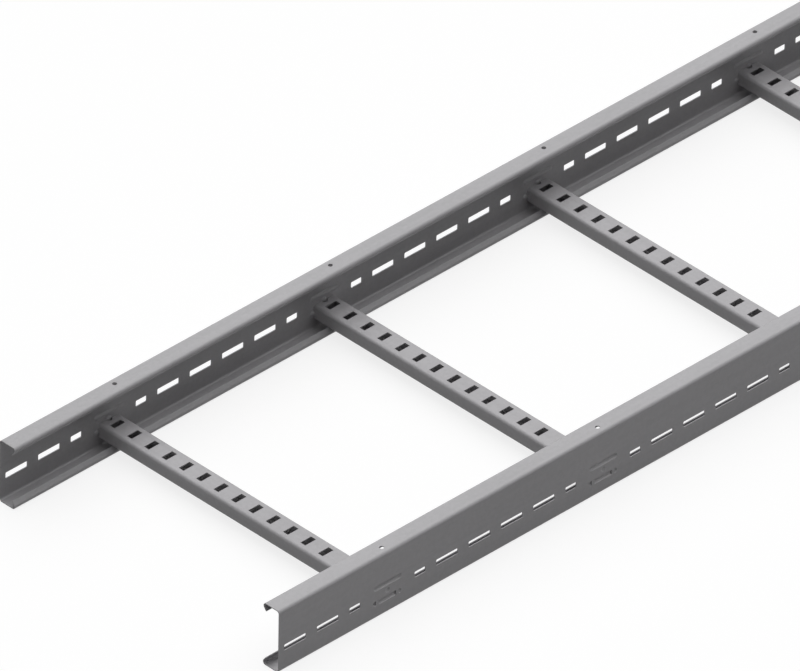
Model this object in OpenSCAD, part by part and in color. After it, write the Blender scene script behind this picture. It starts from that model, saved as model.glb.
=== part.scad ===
/* Cable ladder section: two lipped C-section side rails of folded sheet steel, joined by ten
   slotted channel rungs. X runs along the ladder, Y across it, Z up. The origin lies midway
   between the rails and midway along them, in the plane the bottom flanges rest on. */

/* [Ladder] */
// Overall length of the section, ten times the distance from rung to rung
ladder_length = 3000; // [2800:10:3400]
// Overall width, over the outer faces of the rails
ladder_width = 402; // [150:1:900]

/* [Side rails] */
// Height of each rail
rail_height = 75; // [60:1:150]
// Width of each flange, from the outer face of the web
flange_width = 22.5; // [18:0.5:40]
// Thickness of the rail sheet
rail_sheet = 1; // [0.8:0.1:1.5]
// Outside radius of the bends
rail_bend = 3.5; // [2:0.1:4]
// Height of the return lip, from the outer face of its flange
lip_height = 9.4; // [8:0.1:12]
// Lean of the return lip towards the web, sideways for each unit upwards
lip_slope = 0.75; // [0.5:0.25:0.75]

/* [Rail slots and holes] */
// Height of the row of slots above the base
slot_row_height = 27.6; // [24:0.1:40]
// Width of the slots, up and down
slot_width = 7; // [5:0.5:12]
// Length of the long slots
long_slot = 30; // [20:1:36]
// Length of the short slots
short_slot = 15; // [10:1:20]
// Corner radius of the slots
slot_corner = 1; // [0.5:0.1:2]
// Distance from each rung's centre line to the short slot beside it
short_slot_offset = 45; // [40:1:50]
// Distance from each end of the rail, and from the middle of each bay, to the first long slot
first_long_slot = 22.5; // [20:0.5:25]
// Distance from the same points to the second long slot
second_long_slot = 67.5; // [60:0.5:70]
// Diameter of the holes in the top flange
flange_hole = 5; // [3:0.5:8]
// Distance from the web's outer face to the top flange holes
flange_hole_offset = 9.1; // [7:0.5:12]

/* [Rungs] */
// Height of the rungs' top face above the base
rung_top = 28; // [27:0.1:40]
// Width of each rung, along the ladder
rung_width = 29; // [24:1:40]
// Depth of each rung, top to bottom
rung_depth = 17.5; // [12:0.5:17.5]
// Thickness of the rung sheet
rung_sheet = 1.2; // [0.8:0.1:1.5]
// Outside radius of the rung's bends
rung_bend = 3.5; // [2:0.1:5]
// Width of the open gap between the lips under each rung
rung_mouth = 12; // [6:1:18]
// Length of the rung slots, along the ladder
rung_slot_length = 15; // [10:1:18]
// Width of the rung slots, across the ladder
rung_slot_width = 7; // [4:0.5:10]
// Distance between neighbouring rung slots
rung_slot_pitch = 25; // [15:1:40]
// Least distance from the rung's end to its last slot's centre
rung_slot_margin = 10; // [8:1:30]

/* [Pressed joints] */
// Length of the long bead pressed into the web above each rung
bead_length = 40; // [34:1:50]
// Width of the beads where they leave the web
bead_width = 7; // [5:0.5:8]
// Height of the beads over the web's inner face
bead_rise = 1.6; // [0.8:0.1:2]
// Distance of each bead's centre line above or below the slot row
bead_offset = 9; // [7:0.5:12]
// Width of the round dimple at each rung's top face
dimple_width = 7; // [5:0.5:9]
// Height of the dimple over the web's inner face
dimple_rise = 1.2; // [0.8:0.1:1.5]
// Clearance between the pressed shapes and the rung's end
joint_gap = 0.3; // [0.1:0.1:0.6]

/* [Hidden] */
rung_count = 10;
rung_pitch = ladder_length / rung_count;
rail_steel = [0.62, 0.63, 0.64];
rung_steel = [0.70, 0.71, 0.72];
round_sides = 48;
past = 1;
lip_lean = atan(lip_slope);
rung_length = ladder_width - 2 * rail_sheet;
rung_places = [for (i = [0 : rung_count - 1]) (i - (rung_count - 1) / 2) * rung_pitch];
rung_slot_gaps = floor((rung_length - 2 * rung_slot_margin) / rung_slot_pitch);
bead_radius = cap_radius(bead_width, bead_rise);
dimple_radius = cap_radius(dimple_width, dimple_rise);

// Radius of the round shape that a bead or dimple of this width and height is cut from
function cap_radius(width, rise) = (pow(width / 2, 2) + pow(rise, 2)) / (2 * rise);

// Quarter ring of bent sheet in the first quadrant, centred on the origin
module bend(radius, sheet) {
    intersection() {
        difference() {
            circle(r = radius, $fn = round_sides);
            circle(r = radius - sheet, $fn = round_sides);
        }
        square(radius);
    }
}

// One flange of the rail with its bend to the web and its leaning return lip
module flange_outline() {
    lip_run = (lip_height - rail_bend * (1 + sin(lip_lean))) / cos(lip_lean);
    translate([rail_bend, rail_bend])
        rotate(180)
            bend(rail_bend, rail_sheet);
    translate([rail_bend, 0])
        square([flange_width - 2 * rail_bend, rail_sheet]);
    translate([flange_width - rail_bend, rail_bend]) {
        rotate(-90)
            bend(rail_bend, rail_sheet);
        rotate(lip_lean) {
            rotate(-90)
                bend(rail_bend, rail_sheet);
            translate([rail_bend - rail_sheet, 0])
                square([rail_sheet, lip_run]);
        }
    }
}

module rail_outline() {
    flange_outline();
    translate([0, rail_height])
        mirror([0, 1])
            flange_outline();
    translate([0, rail_bend])
        square([rail_sheet, rail_height - 2 * rail_bend]);
}

// Upright slot plate, its middle at the origin, that cuts right through a web
module web_slot(length) {
    rotate([90, 0, 0])
        linear_extrude(4 * rail_sheet, center = true) {
            square([length - 2 * slot_corner, slot_width], center = true);
            square([length, slot_width - 2 * slot_corner], center = true);
            for (x = [-1, 1], y = [-1, 1])
                translate([x * (length / 2 - slot_corner), y * (slot_width / 2 - slot_corner)])
                    circle(r = slot_corner, $fn = round_sides);
        }
}

// One face of a bead with round ends, an inset in from the face towards the cables
module bead(inset) {
    half = (bead_length - bead_width) / 2;
    translate([0, rail_sheet + bead_rise - bead_radius, 0]) {
        rotate([0, 90, 0])
            cylinder(h = 2 * half, r = bead_radius - inset, center = true, $fn = round_sides);
        for (side = [-1, 1])
            translate([side * half, 0, 0])
                sphere(r = bead_radius - inset, $fn = round_sides);
    }
}

// The lower bead stays flat where the two side walls of the rung's end meet the web
module parted_bead(inset) {
    difference() {
        bead(inset);
        for (side = [-1, 1])
            translate([side * (rung_width - rung_sheet) / 2, 0, 0])
                cube([rung_sheet + 2 * (joint_gap + inset), 4 * bead_width, 2 * bead_width], center = true);
    }
}

// All that is pressed inwards at one rung: the faces in the rail, an inset in from its inside
module pressings(inset) {
    translate([0, 0, slot_row_height + bead_offset])
        bead(inset);
    translate([0, 0, slot_row_height - bead_offset])
        parted_bead(inset);
    translate([0, rail_sheet + dimple_rise - dimple_radius, rung_top])
        sphere(r = dimple_radius - inset, $fn = round_sides);
}

module side_rail() {
    difference() {
        union() {
            translate([-ladder_length / 2, 0, 0])
                rotate([90, 0, 90])
                    linear_extrude(ladder_length)
                        rail_outline();
            for (place = rung_places)
                translate([place, 0, 0])
                    intersection() {
                        pressings(0);
                        translate([-bead_length, rail_sheet / 2, 0])
                            cube([2 * bead_length, flange_width, rail_height]);
                    }
        }
        for (place = rung_places)
            translate([place, 0, 0]) {
                pressings(rail_sheet);
                for (side = [-1, 1])
                    translate([0, rail_sheet / 2, slot_row_height]) {
                        translate([side * short_slot_offset, 0, 0])
                            web_slot(short_slot);
                        for (slot = [first_long_slot, second_long_slot])
                            translate([side * (rung_pitch / 2 - slot), 0, 0])
                                web_slot(long_slot);
                    }
                translate([0, flange_hole_offset, rail_height - rail_sheet - past])
                    cylinder(h = rail_sheet + 2 * past, d = flange_hole, $fn = round_sides);
            }
    }
}

// Half of the rung's channel outline, from its middle line to its side, top at zero
module half_rung_outline() {
    half = rung_width / 2;
    translate([0, -rung_sheet])
        square([half - rung_bend, rung_sheet]);
    translate([half - rung_bend, -rung_bend])
        bend(rung_bend, rung_sheet);
    translate([half - rung_sheet, rung_bend - rung_depth])
        square([rung_sheet, rung_depth - 2 * rung_bend]);
    translate([half - rung_bend, rung_bend - rung_depth])
        rotate(-90)
            bend(rung_bend, rung_sheet);
    translate([rung_mouth / 2, -rung_depth])
        square([half - rung_bend - rung_mouth / 2, rung_sheet]);
}

module rung(index) {
    color(rung_steel)
        translate([rung_places[index], 0, rung_top])
            difference() {
                rotate([90, 0, 0])
                    linear_extrude(rung_length, center = true) {
                        half_rung_outline();
                        mirror([1, 0])
                            half_rung_outline();
                    }
                for (i = [0 : rung_slot_gaps])
                    translate([0, (i - rung_slot_gaps / 2) * rung_slot_pitch, 0])
                        cube([rung_slot_length, rung_slot_width, 3 * rung_sheet], center = true);
                for (side = [-1, 1])
                    translate([0, side * rung_length / 2, -2 * rung_sheet])
                        cylinder(h = 3 * rung_sheet, r = dimple_width / 2 + joint_gap, $fn = round_sides);
            }
}

module side_rail_left() {
    color(rail_steel)
        translate([0, ladder_width / 2, 0])
            rotate(180)
                side_rail();
}

module side_rail_right() {
    color(rail_steel)
        translate([0, -ladder_width / 2, 0])
            side_rail();
}

side_rail_left();
side_rail_right();
rung(0);  // rung_01
rung(1);  // rung_02
rung(2);  // rung_03
rung(3);  // rung_04
rung(4);  // rung_05
rung(5);  // rung_06
rung(6);  // rung_07
rung(7);  // rung_08
rung(8);  // rung_09
rung(9);  // rung_10
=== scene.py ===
# Cable ladder section: finishes, floor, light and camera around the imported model
from math import cos, radians, sin

import bmesh
import bpy
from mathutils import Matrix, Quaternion, Vector

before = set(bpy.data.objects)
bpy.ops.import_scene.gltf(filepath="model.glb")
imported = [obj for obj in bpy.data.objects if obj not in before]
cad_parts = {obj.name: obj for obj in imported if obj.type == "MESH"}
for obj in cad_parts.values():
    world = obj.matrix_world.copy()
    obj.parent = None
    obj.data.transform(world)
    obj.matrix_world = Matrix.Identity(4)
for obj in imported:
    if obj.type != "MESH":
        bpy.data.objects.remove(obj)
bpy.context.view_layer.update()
print("frame loaded:", len(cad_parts), "nodes")


class Graph:
    # Short calls for making and joining shader nodes
    def __init__(self, tree):
        self.tree = tree
        self.tree.nodes.clear()

    def add(self, kind, inputs=None, **settings):
        node = self.tree.nodes.new(kind)
        for name, value in settings.items():
            setattr(node, name, value)
        for name, value in (inputs or {}).items():
            socket = node.inputs[name]
            if isinstance(value, bpy.types.NodeSocket):
                self.tree.links.new(value, socket)
            else:
                socket.default_value = value
        return node

    def math(self, operation, first, second):
        return self.add("ShaderNodeMath", {0: first, 1: second}, operation=operation).outputs[0]

    def spread(self, value, low, high, toLow, toHigh):
        node = self.add("ShaderNodeMapRange", {
            "Value": value, "From Min": low, "From Max": high, "To Min": toLow, "To Max": toHigh})
        return node.outputs["Result"]

    def swing(self, value, low, high, reach):
        return self.spread(value, low, high, -reach, reach)


railZinc = {
    "name": "railZinc",
    "tone": (0.452, 0.445, 0.458),   # dull zinc, linear
    "toneSwing": 0.1,                # share by which crystals, streaks and clouds change it
    "metallic": 0.05,
    "roughness": 0.46,
    "roughnessSwing": 0.05,
    "specular": 0.25,
    "spangleSize": 0.0035,           # metres across one zinc crystal
    "spangleContrast": 0.035,
    "rollLength": 0.45,              # metres along the rolling direction
    "rollWidth": 0.006,
    "rollDetail": 4.0,
    "rollContrast": 0.03,
    "cloudSize": 0.16,
    "cloudDetail": 3.0,
    "cloudContrast": 0.04,
    "bumpHeight": 0.00002,
    "bumpStrength": 0.6,
    "noiseBand": (0.3, 0.7),         # where nearly all of a noise's values lie
}
rungZinc = dict(railZinc, name="rungZinc", tone=(0.448, 0.440, 0.453), rollLength=0.15)


def makeZinc(values, rollAxis):
    material = bpy.data.materials.new(values["name"])
    material.use_nodes = True
    graph = Graph(material.node_tree)
    place = graph.add("ShaderNodeTexCoord").outputs["Object"]

    spangle = graph.add("ShaderNodeTexVoronoi", {
        "Vector": place, "Scale": 1 / values["spangleSize"]})
    crystal = graph.add("ShaderNodeSeparateColor", {
        "Color": spangle.outputs["Color"]}).outputs["Red"]
    stretch = [1 / values["rollWidth"]] * 3
    stretch[rollAxis] = 1 / values["rollLength"]
    rolled = graph.add("ShaderNodeMapping", {"Vector": place, "Scale": stretch}).outputs["Vector"]
    streak = graph.add("ShaderNodeTexNoise", {
        "Vector": rolled, "Scale": 1.0, "Detail": values["rollDetail"]}).outputs["Fac"]
    cloud = graph.add("ShaderNodeTexNoise", {
        "Vector": place, "Scale": 1 / values["cloudSize"],
        "Detail": values["cloudDetail"]}).outputs["Fac"]

    shade = graph.math("ADD", graph.swing(crystal, 0, 1, values["spangleContrast"]),
                       graph.swing(streak, *values["noiseBand"], values["rollContrast"]))
    shade = graph.math("ADD", shade,
                       graph.swing(cloud, *values["noiseBand"], values["cloudContrast"]))
    swing = values["toneSwing"]
    tone = graph.add("ShaderNodeMix", {
        "Factor": graph.spread(shade, -swing, swing, 0, 1),
        "A": [c * (1 - swing) for c in values["tone"]] + [1],
        "B": [c * (1 + swing) for c in values["tone"]] + [1]}, data_type="RGBA")
    roughness = graph.spread(graph.math("ADD", shade, crystal), 0, 1,
                             values["roughness"] - values["roughnessSwing"],
                             values["roughness"] + values["roughnessSwing"])
    bump = graph.add("ShaderNodeBump", {
        "Height": crystal, "Distance": values["bumpHeight"], "Strength": values["bumpStrength"]})
    shader = graph.add("ShaderNodeBsdfPrincipled", {
        "Base Color": tone.outputs["Result"], "Roughness": roughness,
        "Normal": bump.outputs["Normal"], "Metallic": values["metallic"],
        "Specular IOR Level": values["specular"]})
    graph.add("ShaderNodeOutputMaterial", {"Surface": shader.outputs["BSDF"]})
    return material


# The sheet is rolled along X on the rails and along Y on the rungs
zincOnRails = makeZinc(railZinc, 0)
zincOnRungs = makeZinc(rungZinc, 1)
for name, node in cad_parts.items():
    finish = zincOnRungs if name.startswith("rung") else zincOnRails
    node.data.materials.clear()
    node.data.materials.append(finish)
print("zinc on rails and rungs")


studio = {
    "floorSize": 400.0,
    "floorTone": 0.24,       # what the floor throws back at the ladder
    "floorWhite": 0.80,      # what makes it white to the eye and in reflections
    "horizonLight": 0.20,    # the sky's light at the horizon, fading to none overhead
    "horizonFade": 2.0,
    "lampStrength": 2.55,
    "lampSpread": 100.0,     # degrees across the overhead light
    "lampFrom": (0.25, 0.2, 1.0),
}


def seenDirectly(graph):
    path = graph.add("ShaderNodeLightPath")
    seen = graph.math("MAXIMUM", path.outputs["Is Camera Ray"], path.outputs["Is Glossy Ray"])
    return graph.math("MAXIMUM", seen, path.outputs["Is Transmission Ray"])


def makeFloor():
    mesh = bmesh.new()
    bmesh.ops.create_grid(mesh, x_segments=1, y_segments=1, size=studio["floorSize"] / 2)
    data = bpy.data.meshes.new("floor")
    mesh.to_mesh(data)
    mesh.free()
    floor = bpy.data.objects.new("floor", data)
    bpy.context.scene.collection.objects.link(floor)
    material = bpy.data.materials.new("paleFloor")
    material.use_nodes = True
    graph = Graph(material.node_tree)
    matt = graph.add("ShaderNodeBsdfDiffuse", {"Color": [studio["floorTone"]] * 3 + [1]})
    glow = graph.math("MULTIPLY", seenDirectly(graph), studio["floorWhite"])
    white = graph.add("ShaderNodeEmission", {"Color": (1, 1, 1, 1), "Strength": glow})
    both = graph.add("ShaderNodeAddShader", {0: matt.outputs[0], 1: white.outputs[0]})
    graph.add("ShaderNodeOutputMaterial", {"Surface": both.outputs[0]})
    data.materials.append(material)


def lightScene():
    world = bpy.data.worlds.new("studio")
    bpy.context.scene.world = world
    world.use_nodes = True
    graph = Graph(world.node_tree)
    towards = graph.add("ShaderNodeTexCoord").outputs["Generated"]
    height = graph.add("ShaderNodeSeparateXYZ", {"Vector": towards}).outputs["Z"]
    low = graph.math("POWER", graph.spread(height, 0, 1, 1, 0), studio["horizonFade"])
    glow = graph.math("MULTIPLY", low, studio["horizonLight"])
    strength = graph.math("MAXIMUM", glow, seenDirectly(graph))
    sky = graph.add("ShaderNodeBackground", {"Color": (1, 1, 1, 1), "Strength": strength})
    graph.add("ShaderNodeOutputWorld", {"Surface": sky.outputs[0]})
    lamp = bpy.data.lights.new("overhead", "SUN")
    lamp.energy = studio["lampStrength"]
    lamp.angle = radians(studio["lampSpread"])
    stand = bpy.data.objects.new("overhead", lamp)
    stand.rotation_euler = Vector(studio["lampFrom"]).to_track_quat("Z", "Y").to_euler()
    bpy.context.scene.collection.objects.link(stand)


makeFloor()
lightScene()
bpy.context.scene.view_settings.view_transform = "Standard"
print("floor and light ready")


view = {
    "target": (-1.0375, 0.1034, 0.028),   # metres, the point in the middle of the frame
    "azimuth": -134.614,                  # degrees, as are elevation and roll
    "elevation": 35.406,
    "roll": 0.837,
    "width": 0.80386,                     # metres across the frame at the target
    "lens": 1440.0,                       # millimetres, as is sensor
    "sensor": 36.0,
    "nearest": 0.1,                       # metres from the camera that it shows, first and last
    "farthest": 500.0,
}


def placeCamera():
    camera = bpy.data.cameras.new("camera")
    camera.sensor_width = view["sensor"]
    camera.lens = view["lens"]
    camera.clip_start = view["nearest"]
    camera.clip_end = view["farthest"]
    azimuth, elevation = radians(view["azimuth"]), radians(view["elevation"])
    back = Vector((cos(elevation) * cos(azimuth), cos(elevation) * sin(azimuth), sin(elevation)))
    turn = Quaternion((0, 0, 1), radians(view["roll"]))
    body = bpy.data.objects.new("camera", camera)
    body.rotation_mode = "QUATERNION"
    body.rotation_quaternion = back.to_track_quat("Z", "Y") @ turn
    body.location = Vector(view["target"]) + back * view["width"] * view["lens"] / view["sensor"]
    bpy.context.scene.collection.objects.link(body)
    bpy.context.scene.camera = body


placeCamera()
print("camera placed")
